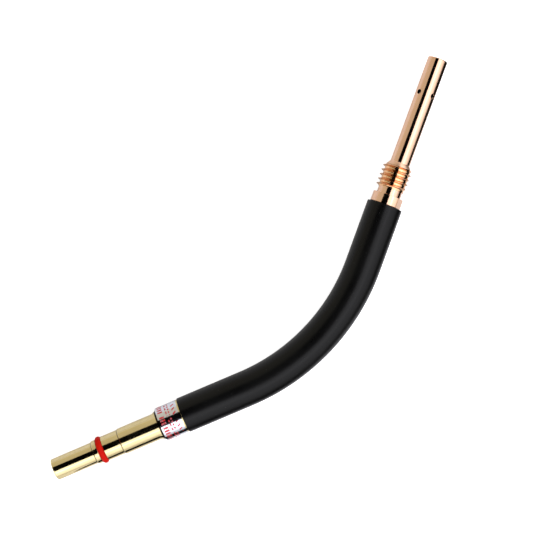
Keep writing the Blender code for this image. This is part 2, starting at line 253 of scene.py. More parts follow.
def along_axis(finish, origin, heading):
    """The piece's own coordinates, laid so that Z runs along the neck and X points down."""
    own = add_node(finish, "ShaderNodeTexCoord", {}).outputs["Object"]
    facing = {"Vector": own, "Location": origin, "Rotation": (0.0, math.pi / 2, heading)}
    return add_node(finish, "ShaderNodeMapping", facing, vector_type="TEXTURE").outputs["Vector"]


def noise(finish, place, stretch, scale, detail):
    """Noise in a place's coordinates, stretched or packed along each axis."""
    stretched = add_node(finish, "ShaderNodeMapping", {"Vector": place, "Scale": stretch})
    inputs = {"Vector": stretched.outputs["Vector"], "Scale": scale, "Detail": detail}
    return add_node(finish, "ShaderNodeTexNoise", inputs).outputs["Fac"]


def between(finish, factor, low, high, from_low=0.3, from_high=0.7):
    """A value that follows a factor from low to high. Noise mostly lies from 0.3 to 0.7."""
    inputs = {
        "Value": factor,
        "From Min": from_low,
        "From Max": from_high,
        "To Min": low,
        "To Max": high,
    }
    return add_node(finish, "ShaderNodeMapRange", inputs).outputs["Result"]


def blended(finish, factor, first, second):
    """A colour that follows a factor from the first to the second."""
    mix = add_node(finish, "ShaderNodeMix", {0: factor, 6: first, 7: second}, data_type="RGBA")
    return mix.outputs[2]


def roughened(finish, shader, height, depth):
    """Relief on a surface, from a height in 0 to 1 and its depth."""
    inputs = {"Height": height, "Distance": depth, "Strength": 1.0}
    bump = add_node(finish, "ShaderNodeBump", inputs)
    finish.node_tree.links.new(bump.outputs["Normal"], shader.inputs["Normal"])


def reckon(finish, operation, first, second=0.0, third=0.0):
    """One step of arithmetic in a finish, on plain values or other nodes' outputs."""
    inputs = {0: first, 1: second, 2: third}
    return add_node(finish, "ShaderNodeMath", inputs, operation=operation).outputs[0]


def within(finish, value, low, high):
    """1 where a value lies from low to high, and 0 elsewhere."""
    return reckon(finish, "COMPARE", value, (low + high) / 2, (high - low) / 2)


def turned_metal(
    name, colour, worn_colour, roughness, origin, heading, corners, places_inside, duller_run
):
    """Bar metal off a lathe: faint rings round the axis, a patchy polish and duller patches.

    Corners are stations with a painted shade line across the piece, with half its width and its
    darkness; the bore is painted in shade as well. Places inside have their own colour, from one
    station to another and from one radius to another: painted shade, or a painted reflection's
    tint.
    The duller run has its own roughness, from one station to another.
    """
    finish, shader = new_finish(name, colour, metallic=1.0, roughness=roughness)
    links = finish.node_tree.links
    local = along_axis(finish, origin, heading)
    polish = noise(finish, local, stretch=(1.0, 1.0, 0.5), scale=500.0, detail=4.0)
    patches = noise(finish, local, stretch=(1.0, 1.0, 0.6), scale=150.0, detail=5.0)
    rings = noise(finish, local, stretch=(60.0, 60.0, 9000.0), scale=1.0, detail=3.0)
    places = add_node(finish, "ShaderNodeSeparateXYZ", {"Vector": local}).outputs
    side_on = add_node(finish, "ShaderNodeCombineXYZ", {"X": places["X"], "Y": places["Y"]})
    across = {0: side_on.outputs[0]}
    radius = add_node(finish, "ShaderNodeVectorMath", across, operation="LENGTH").outputs["Value"]

    polished = between(finish, polish, roughness - POLISH_SMOOTHER, roughness + POLISH_ROUGHER)
    run_rear, run_front, run_roughness = duller_run
    on_run = within(finish, places["Z"], run_rear, run_front)
    duller = reckon(finish, "MULTIPLY", on_run, run_roughness)
    links.new(reckon(finish, "MAXIMUM", polished, duller), shader.inputs["Roughness"])

    # Painted shade: the bore and the metal just round it are painted near-black.
    dark = reckon(finish, "LESS_THAN", radius, BORE_RADIUS + BORE_SHADE_REACH)
    # Each corner adds a painted shade line round the piece at its station.
    for station, half_width, darkness in corners:
        distance = reckon(finish, "ABSOLUTE", reckon(finish, "SUBTRACT", places["Z"], station))
        line = between(finish, distance, darkness, 0.0, LINE_CORE_SHARE * half_width, half_width)
        dark = reckon(finish, "MAXIMUM", dark, line)
    surface_tone = blended(finish, between(finish, patches, 0.0, 1.0), colour, worn_colour)
    for rear, front, inner, outer, own_colour in places_inside:
        near = within(finish, places["Z"], rear, front)
        deep = within(finish, radius, inner, outer)
        surface_tone = blended(finish, reckon(finish, "MULTIPLY", near, deep), surface_tone, own_colour)
    links.new(blended(finish, dark, surface_tone, PAINTED_SHADE_BLACK), shader.inputs["Base Color"])
    roughened(finish, shader, rings, TURNING_MARK_DEPTH)
    return finish


brass = turned_metal(
    "turned_brass",
    POLISHED_BRASS,
    WORN_BRASS,
    BRASS_ROUGHNESS,
    origin=plug_end,
    heading=0.0,
    # Painted shade lines at the nose's step, the barrel's step and the flare's front edge.
    corners=[
        (NOSE_LENGTH, STEP_SHADE_LINE, STEP_SHADE_DARKNESS),
        (BARREL_REAR, STEP_SHADE_LINE, STEP_SHADE_DARKNESS),
        (flare_front - FLARE_SHADE_SETBACK, FLARE_SHADE_LINE, FLARE_SHADE_DARKNESS),
    ],
    places_inside=[],
    duller_run=(COLLAR_FRONT, PLUG_FRONT, SKIRT_ROUGHNESS),
)
rear_plug.data.materials.append(brass)
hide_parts("rear_plug")
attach(rear_plug, "root")


# --------------------------------------------------------------------------------------------------
# Sealing ring: moulded red silicone, stretched into the plug's groove. Its mould leaves a fine
# flash line round the outside.

RING_OUTER_RADIUS = 0.0056
RING_HALF_WIDTH = 0.00122
RING_FLASH = 0.00003
RING_SECTION_POINTS = 32

RED_SILICONE = (0.66, 0.011, 0.003)
DEEPER_SILICONE = (0.54, 0.008, 0.002)
SILICONE_GLOSS = 0.06
SILICONE_GRAIN_DEPTH = 0.00001

ring_half_height = (RING_OUTER_RADIUS - GROOVE_RADIUS) / 2
ring_centre = (GROOVE_RADIUS + ring_half_height, 0.0, (GROOVE_REAR + GROOVE_FRONT) / 2)
ring_squash = ring_half_height / RING_HALF_WIDTH
deselect_everything()
bpy.ops.mesh.primitive_circle_add(
    vertices=RING_SECTION_POINTS,
    radius=RING_HALF_WIDTH,
    location=ring_centre,
    rotation=(math.pi / 2, 0.0, 0.0),
)
sealing_ring = bpy.context.object
sealing_ring.name = "sealing_ring"
bpy.ops.object.transform_apply(location=True, rotation=True)
bpy.ops.object.mode_set(mode="EDIT")
bpy.ops.mesh.select_all(action="SELECT")
bpy.ops.transform.resize(value=(ring_squash, 1.0, 1.0), center_override=ring_centre)
bpy.ops.object.mode_set(mode="OBJECT")
open_with_selected(sealing_ring, lambda point: point.x > RING_OUTER_RADIUS - MERGE_REACH)
bpy.ops.transform.translate(value=(RING_FLASH, 0.0, 0.0))
bpy.ops.mesh.select_all(action="SELECT")
bpy.ops.mesh.spin(
    steps=PLUG_SIDES, angle=2 * math.pi, center=(0.0, 0.0, 0.0), axis=(0.0, 0.0, 1.0)
)
bpy.ops.mesh.select_all(action="SELECT")
bpy.ops.mesh.remove_doubles(threshold=MERGE_REACH)
bpy.ops.mesh.normals_make_consistent(inside=False)
bpy.ops.mesh.select_all(action="DESELECT")
bpy.ops.object.mode_set(mode="OBJECT")
seat_on_axis(sealing_ring, plug_end, heading=0.0)


def patterned(finish, shader, pattern, first, second, depth):
    """One pattern gives a finish its colour, from the first to the second, and its relief."""
    colour = blended(finish, pattern, first, second)
    finish.node_tree.links.new(colour, shader.inputs["Base Color"])
    roughened(finish, shader, pattern, depth)


silicone, silicone_shader = new_finish("red_silicone", RED_SILICONE, metallic=0.0, roughness=0.5)
silicone_shader.inputs["Specular IOR Level"].default_value = SILICONE_GLOSS
silicone_place = along_axis(silicone, plug_end, heading=0.0)
silicone_grain = noise(
    silicone, silicone_place, stretch=(1.0, 1.0, 1.0), scale=2500.0, detail=4.0
)
patterned(
    silicone, silicone_shader, silicone_grain, RED_SILICONE, DEEPER_SILICONE, SILICONE_GRAIN_DEPTH
)
sealing_ring.data.materials.append(silicone)
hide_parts("plug_o_ring")
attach(sealing_ring, "root")


# --------------------------------------------------------------------------------------------------
# Label: a strip of silvered film wrapped once round the plug's collar, its end lapped over its
# start on the underside. The print on it is plain red bars, dashes and ticks.

LABEL_REAR = 0.0463
LABEL_LENGTH = 0.0088
FILM_THICKNESS = 0.00006
FILM_CLEARANCE = 0.00003
LABEL_COLUMNS = 200
LABEL_ROWS = 12
LABEL_LAP = math.radians(14.0)
LAP_LIFT = 1.4

SILVER_FILM = (0.80, 0.82, 0.89)
RED_INK = (0.60, 0.03, 0.04)
FILM_WAVE_DEPTH = 0.00003
IN_MILLIMETRES = 1000.0

film_radius = COLLAR_RADIUS + FILM_CLEARANCE
film_column = 2 * math.pi / LABEL_COLUMNS
lap_columns = round(LABEL_LAP / film_column)
deselect_everything()
bpy.ops.mesh.primitive_plane_add(
    size=LABEL_LENGTH,
    location=(film_radius - LABEL_LENGTH / 2, 0.0, LABEL_REAR + LABEL_LENGTH / 2),
    rotation=(math.pi / 2, 0.0, 0.0),
)
label = bpy.context.object
label.name = "label_film"
bpy.ops.object.transform_apply(location=True, rotation=True)
open_with_selected(label, lambda point: point.x < film_radius - LABEL_LENGTH / 2)
bpy.ops.mesh.delete(type="VERT")
bpy.ops.mesh.select_all(action="SELECT")
bpy.ops.mesh.subdivide(number_cuts=LABEL_ROWS - 1)
bpy.ops.mesh.spin(
    steps=LABEL_COLUMNS - 1,
    angle=2 * math.pi - film_column,
    center=(0.0, 0.0, 0.0),
    axis=(0.0, 0.0, 1.0),
)
lifted = 1.0 + LAP_LIFT * FILM_THICKNESS / film_radius
bpy.ops.transform.resize(value=(lifted, lifted, 1.0), center_override=(0.0, 0.0, 0.0))
bpy.ops.mesh.spin(
    steps=lap_columns,
    angle=lap_columns * film_column,
    center=(0.0, 0.0, 0.0),
    axis=(0.0, 0.0, 1.0),
)
bpy.ops.mesh.select_all(action="SELECT")
bpy.ops.mesh.normals_make_consistent(inside=False)
bpy.ops.mesh.select_all(action="DESELECT")
bpy.ops.object.mode_set(mode="OBJECT")
film_wall = label.modifiers.new("film", "SOLIDIFY")
film_wall.thickness = FILM_THICKNESS
film_wall.offset = 1.0
bpy.ops.object.modifier_apply(modifier=film_wall.name)
seat_on_axis(label, plug_end, heading=0.0)


def label_print(finish, local):
    """Three plain rows round the film, in millimetres: bold bars, paired dashes, slanted ticks."""
    places = add_node(finish, "ShaderNodeSeparateXYZ", {"Vector": local})
    turned = reckon(finish, "ARCTAN2", places.outputs["Y"], places.outputs["X"])
    arc = reckon(finish, "MULTIPLY", turned, film_radius * IN_MILLIMETRES)
    rise = reckon(finish, "MULTIPLY", places.outputs["Z"], IN_MILLIMETRES)

    def band(station, half_width):
        return reckon(finish, "COMPARE", rise, station, half_width)

    def marks(pitch, share, shift, slant=0.0):
        leaning = reckon(finish, "MULTIPLY_ADD", rise, slant, shift)
        turns = reckon(finish, "DIVIDE", reckon(finish, "ADD", arc, leaning), pitch)
        return reckon(finish, "LESS_THAN", reckon(finish, "FRACT", turns), share)

    def both(first, second):
        return reckon(finish, "MULTIPLY", first, second)

    def either(first, second):
        return reckon(finish, "MAXIMUM", first, second)

    bars = both(marks(pitch=1.25, share=0.64, shift=0.3), marks(pitch=6.4, share=0.82, shift=1.1))
    tall = both(bars, band(station=48.0, half_width=1.0))
    upper_marks = marks(pitch=1.9, share=0.68, shift=0.2)
    lower_marks = marks(pitch=1.4, share=0.62, shift=0.9)
    upper_dash = both(upper_marks, band(station=50.3, half_width=0.3))
    lower_dash = both(lower_marks, band(station=51.4, half_width=0.3))
    dashes = both(either(upper_dash, lower_dash), marks(pitch=7.4, share=0.84, shift=2.0))
    slanted_marks = marks(pitch=1.9, share=0.36, shift=0.4, slant=0.5)
    slanted = both(slanted_marks, band(station=53.4, half_width=0.7))
    ticks = both(slanted, marks(pitch=8.8, share=0.6, shift=3.4))
    return either(tall, either(dashes, ticks))


film, film_shader = new_finish("silver_film", SILVER_FILM, metallic=1.0, roughness=0.20)
film_links = film.node_tree.links
film_local = along_axis(film, plug_end, heading=0.0)
ink_wear = noise(film, film_local, stretch=(1.0, 1.0, 1.0), scale=1400.0, detail=3.0)
film_waves = noise(film, film_local, stretch=(1.0, 1.0, 0.7), scale=330.0, detail=3.0)
ink_left = between(film, ink_wear, low=0.65, high=1.0, from_low=0.35, from_high=0.5)
ink = reckon(film, "MULTIPLY", label_print(film, film_local), ink_left)
ink_roughness = between(film, ink, low=0.12, high=0.34, from_low=0.0, from_high=1.0)
ink_metallic = between(film, ink, low=1.0, high=0.25, from_low=0.0, from_high=1.0)
film_links.new(blended(film, ink, SILVER_FILM, RED_INK), film_shader.inputs["Base Color"])
film_links.new(ink_roughness, film_shader.inputs["Roughness"])
film_links.new(ink_metallic, film_shader.inputs["Metallic"])
roughened(film, film_shader, film_waves, FILM_WAVE_DEPTH)
label.data.materials.append(film)
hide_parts("label_band")
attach(label, "root")


# --------------------------------------------------------------------------------------------------
# Inside: the drawn copper tube, bent once, the three rings of brazing filler at its joints, and
# the woven glass-fibre sleeve on it. They keep their own solids, which show only through the bore.

DRAWN_COPPER = (0.90, 0.52, 0.38)
DULL_COPPER = (0.66, 0.34, 0.22)
DRAWING_LINE_DEPTH = 0.00002
BRIGHT_SOLDER = (0.80, 0.74, 0.58)
DULL_SOLDER = (0.56, 0.46, 0.32)
SOLDER_RIPPLE_DEPTH = 0.00006
PALE_GLASS = (0.84, 0.80, 0.70)
SHADED_GLASS = (0.58, 0.53, 0.44)
WEAVE_SCALE = 900.0
WEAVE_DEPTH = 0.00012


def own_place(finish):
    return add_node(finish, "ShaderNodeTexCoord", {}).outputs["Object"]


drawn_copper, drawn_shader = new_finish(
    "drawn_copper", DRAWN_COPPER, metallic=1.0, roughness=0.32
)
drawn_lines = noise(
    drawn_copper, own_place(drawn_copper), stretch=(1.0, 1.0, 6.0), scale=700.0, detail=4.0
)
patterned(
    drawn_copper, drawn_shader, drawn_lines, DRAWN_COPPER, DULL_COPPER, DRAWING_LINE_DEPTH
)

solder, solder_shader = new_finish("brazing_filler", BRIGHT_SOLDER, metallic=1.0, roughness=0.35)
solder_ripple = noise(
    solder, own_place(solder), stretch=(1.0, 1.0, 1.0), scale=900.0, detail=3.0
)
patterned(solder, solder_shader, solder_ripple, BRIGHT_SOLDER, DULL_SOLDER, SOLDER_RIPPLE_DEPTH)

glass, glass_shader = new_finish(
    "woven_glass_fibre", PALE_GLASS, metallic=0.0, roughness=0.85
)
glass_threads = {"Vector": own_place(glass), "Scale": WEAVE_SCALE}
glass_magic = add_node(glass, "ShaderNodeTexMagic", glass_threads, turbulence_depth=1)
glass_weave = glass_magic.outputs["Fac"]
patterned(glass, glass_shader, glass_weave, PALE_GLASS, SHADED_GLASS, WEAVE_DEPTH)

inside_finishes = {
    "conductor_tube": drawn_copper,
    "plug_braze_ring": solder,
    "head_braze_ring": solder,
    "holder_braze_ring": solder,
    "glass_fibre_sleeve": glass,
}
for node_name, finish in inside_finishes.items():
    for material_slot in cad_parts[node_name].material_slots:
        material_slot.material = finish


# --------------------------------------------------------------------------------------------------
# Outer sleeve: black extruded rubber, pushed over the bent tube from collar to collar. Its ends
# are cut square, and its skin keeps fine lines from the die, a faint bloom and specks of dust.

SLEEVE_REAR = 0.0558
BEND_START = 0.0831
BEND_RADIUS = 0.0846
BEND_ANGLE = math.radians(47.0)
FRONT_RUN = 0.0256
SLEEVE_RADIUS = 0.0072
SLEEVE_WALL = 0.00145
SLEEVE_SIDES = 128
SLEEVE_RINGS = 90
STRAIGHT_RINGS = 20
CUT_EDGE = 0.00018
CUT_EDGE_STEPS = 3
CUT_EDGE_ANGLE = math.radians(60.0)
SLEEVE_CREASE_ANGLE = math.radians(40.0)

DEEP_BLACK = (0.0016, 0.0016, 0.0017)
BLOOMED_BLACK = (0.0034, 0.0034, 0.0034)
DUST = (0.04, 0.04, 0.038)
RUBBER_GLOSS = 0.21
SKIN_SHARE = 0.8
SKIN_DEPTH = 0.000006

bend_end = BEND_START + BEND_RADIUS * BEND_ANGLE
sleeve_front = bend_end + FRONT_RUN
front_direction = Vector((math.cos(BEND_ANGLE), math.sin(BEND_ANGLE), 0.0))
front_right = Vector((front_direction.y, -front_direction.x, 0.0))
bend_centre = plug_end + Vector((BEND_START, BEND_RADIUS, 0.0))
bend_end_point = bend_centre + front_right * BEND_RADIUS
front_origin = bend_end_point - front_direction * bend_end


def extrude_straight(direction, length, rings):
    for _ in range(rings):
        bpy.ops.mesh.extrude_region_move(
            TRANSFORM_OT_translate={"value": direction * (length / rings)}
        )


def straightened(point):
    """Where a point on the neck would be if the neck were straight along Z, with X down."""
    drop = plug_end.z - point.z
    offset = point - bend_centre
    turned_by = math.atan2(offset.x, -offset.y)
    if turned_by <= 0.0:
        return Vector((drop, point.y - plug_end.y, point.x - plug_end.x))
    if turned_by >= BEND_ANGLE:
        reach = point - bend_end_point
        return Vector((drop, -reach.dot(front_right), bend_end + reach.dot(front_direction)))
    inward = BEND_RADIUS - math.hypot(offset.x, offset.y)
    return Vector((drop, inward, BEND_START + BEND_RADIUS * turned_by))


deselect_everything()
bpy.ops.mesh.primitive_circle_add(
    vertices=SLEEVE_SIDES,
    radius=SLEEVE_RADIUS,
    location=plug_end + Vector((SLEEVE_REAR, 0.0, 0.0)),
    rotation=(0.0, math.pi / 2, 0.0),
)
sleeve = bpy.context.object
sleeve.name = "rubber_sleeve"
bpy.ops.object.transform_apply(location=True, rotation=True)
bpy.ops.object.mode_set(mode="EDIT")
bpy.ops.mesh.select_all(action="SELECT")
extrude_straight(Vector((1.0, 0.0, 0.0)), BEND_START - SLEEVE_REAR, STRAIGHT_RINGS)
bpy.ops.mesh.spin(steps=SLEEVE_RINGS, angle=-BEND_ANGLE, center=bend_centre, axis=(0.0, 0.0, 1.0))
extrude_straight(front_direction, FRONT_RUN, STRAIGHT_RINGS)
bpy.ops.mesh.select_all(action="SELECT")
bpy.ops.mesh.remove_doubles(threshold=MERGE_REACH)
bpy.ops.mesh.normals_make_consistent(inside=False)
bpy.ops.object.mode_set(mode="OBJECT")
sleeve_wall = sleeve.modifiers.new("wall", "SOLIDIFY")
sleeve_wall.thickness = SLEEVE_WALL
sleeve_wall.offset = -1.0
bpy.ops.object.modifier_apply(modifier=sleeve_wall.name)
cut_edges = sleeve.modifiers.new("cut_edges", "BEVEL")
cut_edges.width = CUT_EDGE
cut_edges.segments = CUT_EDGE_STEPS
cut_edges.limit_method = "ANGLE"
cut_edges.angle_limit = CUT_EDGE_ANGLE
bpy.ops.object.modifier_apply(modifier=cut_edges.name)
bpy.ops.object.shade_smooth_by_angle(angle=SLEEVE_CREASE_ANGLE)
steady_shading(sleeve)
straight_place = sleeve.data.attributes.new("straight_place", "FLOAT_VECTOR", "POINT")
for vertex, place in zip(sleeve.data.vertices, straight_place.data):
    place.vector = straightened(vertex.co)

rubber, rubber_shader = new_finish("black_rubber", BLOOMED_BLACK, metallic=0.0, roughness=0.40)
rubber_shader.inputs["Specular IOR Level"].default_value = RUBBER_GLOSS
rubber_links = rubber.node_tree.links
along_sleeve = add_node(rubber, "ShaderNodeAttribute", {}, attribute_name="straight_place")
rubber_place = along_sleeve.outputs["Vector"]
die_lines = noise(rubber, rubber_place, stretch=(1.0, 1.0, 0.02), scale=3000.0, detail=3.0)
skin = noise(rubber, rubber_place, stretch=(1.0, 1.0, 1.0), scale=2600.0, detail=4.0)
bloom = noise(rubber, rubber_place, stretch=(1.0, 1.0, 0.3), scale=160.0, detail=4.0)
specks = noise(rubber, rubber_place, stretch=(1.0, 1.0, 1.0), scale=1900.0, detail=1.0)
bloomed = between(rubber, bloom, low=0.0, high=1.0)
dusty = between(rubber, specks, low=0.0, high=1.0, from_low=0.76, from_high=0.82)
worn_black = blended(rubber, bloomed, DEEP_BLACK, BLOOMED_BLACK)
rubber_links.new(blended(rubber, dusty, worn_black, DUST), rubber_shader.inputs["Base Color"])
rubber_links.new(between(rubber, bloom, low=0.26, high=0.33), rubber_shader.inputs["Roughness"])
rubber_relief = reckon(rubber, "ADD", die_lines, reckon(rubber, "MULTIPLY", skin, SKIN_SHARE))
roughened(rubber, rubber_shader, rubber_relief, SKIN_DEPTH)
sleeve.data.materials.append(rubber)
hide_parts("outer_sleeve")
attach(sleeve, "root")


# --------------------------------------------------------------------------------------------------
# Head: a copper turning brazed to the tube's front end. From the sleeve: a collar with two spanner
# flats, a relief, and the coarse right-hand thread, round in its grooves, that the nozzle's spring
# screws on.

HEAD_SIDES = 144
HEAD_COLLAR_GAP = 0.0001
HEAD_COLLAR_RADIUS = 0.00625
HEAD_COLLAR_LENGTH = 0.0041
HEAD_SKIRT_RADIUS = 0.0055
HEAD_SKIRT_LENGTH = 0.0080
HEAD_SOCKET_DEPTH = 0.0100
RELIEF_RADIUS = 0.0049
RELIEF_LENGTH = 0.0026
THREAD_RADIUS = 0.00625
THREAD_ROOT_RADIUS = 0.00515
THREAD_LENGTH = 0.0092
THREAD_PITCH = 0.00192
THREAD_CREST = 0.00012
THREAD_CHAMFER = 0.0005
FIRST_CREST = 0.00074
GROOVE_POINTS = 24
GROOVE_TOP_START = 0.05
GROOVE_TOP_SQUASH = 0.2
SPIGOT_SOCKET_DEPTH = 0.0088
SPIGOT_SOCKET_RADIUS = 0.0039
FLATS_WIDTH = 0.0112
FLATS_TURN = math.radians(69.0)
FLATS_OVERRUN = 0.0003
SLIVER_REACH = 0.000004

head_collar_rear = sleeve_front + HEAD_COLLAR_GAP
head_collar_front = head_collar_rear + HEAD_COLLAR_LENGTH
head_rear = head_collar_rear - HEAD_SKIRT_LENGTH
tube_end = head_rear + HEAD_SOCKET_DEPTH
thread_rear = head_collar_front + RELIEF_LENGTH
thread_front = thread_rear + THREAD_LENGTH
spigot_socket_floor = thread_front - SPIGOT_SOCKET_DEPTH
head = turn(
    "head_turned",
    [
        (SPIGOT_SOCKET_RADIUS, thread_front),
        (THREAD_RADIUS - THREAD_CHAMFER, thread_front),
        (THREAD_RADIUS, thread_front - THREAD_CHAMFER),
        (THREAD_RADIUS, thread_rear + THREAD_CHAMFER),
        (THREAD_RADIUS - THREAD_CHAMFER, thread_rear),
        (RELIEF_RADIUS, thread_rear),
        (RELIEF_RADIUS, head_collar_front),
        (HEAD_COLLAR_RADIUS, head_collar_front),
        (HEAD_COLLAR_RADIUS, head_collar_rear),
        (HEAD_SKIRT_RADIUS, head_collar_rear),
        (HEAD_SKIRT_RADIUS, head_rear),
        (TUBE_SOCKET_RADIUS, head_rear),
        (TUBE_SOCKET_RADIUS, tube_end),
        (BORE_RADIUS, tube_end),
        (BORE_RADIUS, spigot_socket_floor),
        (SPIGOT_SOCKET_RADIUS, spigot_socket_floor),
    ],
    HEAD_SIDES,
)
soften_ring(head, HEAD_COLLAR_RADIUS, head_collar_front, TURNED_EDGE, TURNED_EDGE_STEPS)
soften_ring(head, HEAD_COLLAR_RADIUS, head_collar_rear, TURNED_EDGE, TURNED_EDGE_STEPS)


def cut_away(piece, cutter):
    """Cut one piece's shape out of another, and merge the slivers that the cut leaves."""
    deselect_everything()
    cut = piece.modifiers.new("cut", "BOOLEAN")
    cut.operation = "DIFFERENCE"
    cut.solver = "EXACT"
    cut.object = cutter
    bpy.context.view_layer.objects.active = piece
    bpy.ops.object.modifier_apply(modifier=cut.name)
    bpy.data.objects.remove(cutter, do_unlink=True)
    bpy.ops.object.mode_set(mode="EDIT")
    bpy.ops.mesh.select_all(action="SELECT")
    bpy.ops.mesh.remove_doubles(threshold=SLIVER_REACH)
    bpy.ops.mesh.dissolve_degenerate(threshold=SLIVER_REACH)
    bpy.ops.mesh.select_all(action="DESELECT")
    bpy.ops.object.mode_set(mode="OBJECT")


def wound_up(section, start_angle, pitch, turns, steps):
    """A thread's groove as a solid: its section, wound up a right-hand helix, with shut ends."""
    section.rotation_euler = (0.0, 0.0, start_angle)
    bpy.ops.object.transform_apply(rotation=True)
    winding = section.modifiers.new("winding", "SCREW")
    winding.axis = "Z"
    winding.angle = turns * 2 * math.pi
    winding.screw_offset = turns * pitch
    winding.steps = winding.render_steps = turns * steps
    bpy.ops.object.modifier_apply(modifier=winding.name)
    bpy.ops.object.mode_set(mode="EDIT")
    bpy.ops.mesh.select_mode(type="EDGE")
    bpy.ops.mesh.select_all(action="DESELECT")
    bpy.ops.mesh.select_non_manifold()
    bpy.ops.mesh.fill_holes(sides=0)
    bpy.ops.mesh.select_all(action="SELECT")
    bpy.ops.mesh.normals_make_consistent(inside=False)
    bpy.ops.object.mode_set(mode="OBJECT")
    return section


thread_turns = math.ceil((THREAD_LENGTH + THREAD_PITCH) / THREAD_PITCH) + 1
groove_depth = THREAD_RADIUS - THREAD_ROOT_RADIUS
groove_centre = (THREAD_RADIUS, 0.0, thread_rear + FIRST_CREST - THREAD_PITCH)
groove_top = THREAD_RADIUS + GROOVE_TOP_START * groove_depth
deselect_everything()
bpy.ops.mesh.primitive_circle_add(
    vertices=GROOVE_POINTS, radius=1.0, location=groove_centre, rotation=(math.pi / 2, 0.0, 0.0)
)
groove = bpy.context.object
groove.scale = (groove_depth, (THREAD_PITCH - THREAD_CREST) / 2, 1.0)
bpy.ops.object.transform_apply(location=True, rotation=True, scale=True)
open_with_selected(groove, lambda point: point.x > groove_top)
bpy.ops.transform.resize(value=(GROOVE_TOP_SQUASH, 1.0, 1.0), center_override=groove_centre)
bpy.ops.object.mode_set(mode="OBJECT")
nozzle_thread = wound_up(
    groove, start_angle=-math.pi / 2, pitch=THREAD_PITCH, turns=thread_turns, steps=HEAD_SIDES
)
cut_away(head, nozzle_thread)

flat_rear = head_collar_rear - FLATS_OVERRUN
flat_front = head_collar_front + RELIEF_LENGTH / 2
flat_reach = (FLATS_WIDTH + THREAD_RADIUS) / 2
for side in range(2):
    deselect_everything()
    flat_turn = math.pi + FLATS_TURN + side * math.pi
    bpy.ops.mesh.primitive_cube_add(size=1.0)
    mill = bpy.context.object
    mill.scale = (THREAD_RADIUS, 4 * THREAD_RADIUS, flat_front - flat_rear)
    mill.rotation_euler = (0.0, 0.0, flat_turn)
    mill.location = (
        flat_reach * math.cos(flat_turn),
        flat_reach * math.sin(flat_turn),
        (flat_rear + flat_front) / 2,
    )
    bpy.ops.object.transform_apply(location=True, rotation=True, scale=True)
    cut_away(head, mill)
seat_on_axis(head, front_origin, heading=BEND_ANGLE)

FLANGE_GAP = 0.0001
HOLDER_LENGTH = 0.0459
GAS_HOLE_SETBACK = 0.0150
CONE_LENGTH = 0.0017
HOLDER_RADIUS = 0.0040

POLISHED_COPPER = (0.95, 0.62, 0.44)
WORN_COPPER = (0.91, 0.56, 0.37)
# The thread's groove floors get a painted orange reflection, and its flanks painted shade.
FLOOR_PAINTED_REFLECTION = (1.0, 0.60, 0.33)
FLANK_PAINTED_SHADE = (0.80, 0.47, 0.25)
COPPER_ROUGHNESS = 0.09
CONE_ROUGHNESS = 0.36
# A painted shade line at the collar's rear edge, where the sleeve butts on it.
COLLAR_SHADE_LINE = 0.00025
COLLAR_SHADE_DARKNESS = 0.9
# How far along the stem the painted shade in the gas holes reaches.
HOLE_SHADE_REACH = 0.0014
STEM_SKIN = 0.00004
ROOT_SKIN = 0.0001
CREST_SKIN = 0.00006
FLOOR_SHARE = 0.2

flange_rear = thread_front + FLANGE_GAP
holder_front = flange_rear + HOLDER_LENGTH
gas_hole_station = holder_front - GAS_HOLE_SETBACK
holes_rear = gas_hole_station - HOLE_SHADE_REACH
holes_front = gas_hole_station + HOLE_SHADE_REACH
groove_root = THREAD_ROOT_RADIUS - ROOT_SKIN
groove_floor = THREAD_ROOT_RADIUS + FLOOR_SHARE * groove_depth
crest_foot = THREAD_RADIUS - CREST_SKIN
copper = turned_metal(
    "turned_copper",
    POLISHED_COPPER,
    WORN_COPPER,
    COPPER_ROUGHNESS,
    origin=front_origin,
    heading=BEND_ANGLE,
    # A painted shade line at the collar's rear edge, where the sleeve butts on it.
    corners=[(head_collar_rear, COLLAR_SHADE_LINE, COLLAR_SHADE_DARKNESS)],
    places_inside=[
        # Painted shade inside the gas holes.
        (holes_rear, holes_front, 0.0, HOLDER_RADIUS - STEM_SKIN, PAINTED_SHADE_BLACK),
        # In the thread: a painted orange reflection on the groove floors, painted shade on the
        # flanks.
        (thread_rear, thread_front, groove_root, groove_floor, FLOOR_PAINTED_REFLECTION),
        (thread_rear, thread_front, groove_floor, crest_foot, FLANK_PAINTED_SHADE),
    ],
    duller_run=(flange_rear, flange_rear + CONE_LENGTH, CONE_ROUGHNESS),
)
head.data.materials.append(copper)
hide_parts("head_body")
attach(head, "root")


# --------------------------------------------------------------------------------------------------
# Tip holder: a copper turning whose spigot is brazed into the head. A cone leads to the plain stem
# with its four gas holes, and its end is tapped M6 for the contact tip.

HOLDER_SIDES = 144
FLANGE_RADIUS = 0.0052
HOLDER_ROUNDING = 0.0005
SPIGOT_RADIUS = 0.0036
SPIGOT_LENGTH = 0.0080
TAP_RADIUS = 0.0025
TAP_DEPTH = 0.0120
TAP_COUNTERSINK = 0.0005
TAP_PITCH = 0.0010
TAP_TURNS = 12
TAP_OVERLAP = 0.0001
TAP_OUTER_RADIUS = 0.0030
TAP_ROOT_WIDTH = 0.00012
TAP_MOUTH_WIDTH = 0.00096
TAP_SIDES = 72
GAS_HOLE_RADIUS = 0.0008
GAS_HOLE_TURN = math.radians(45.0)
GAS_HOLE_SIDES = 40
GAS_HOLE_CHAMFER = 0.00024

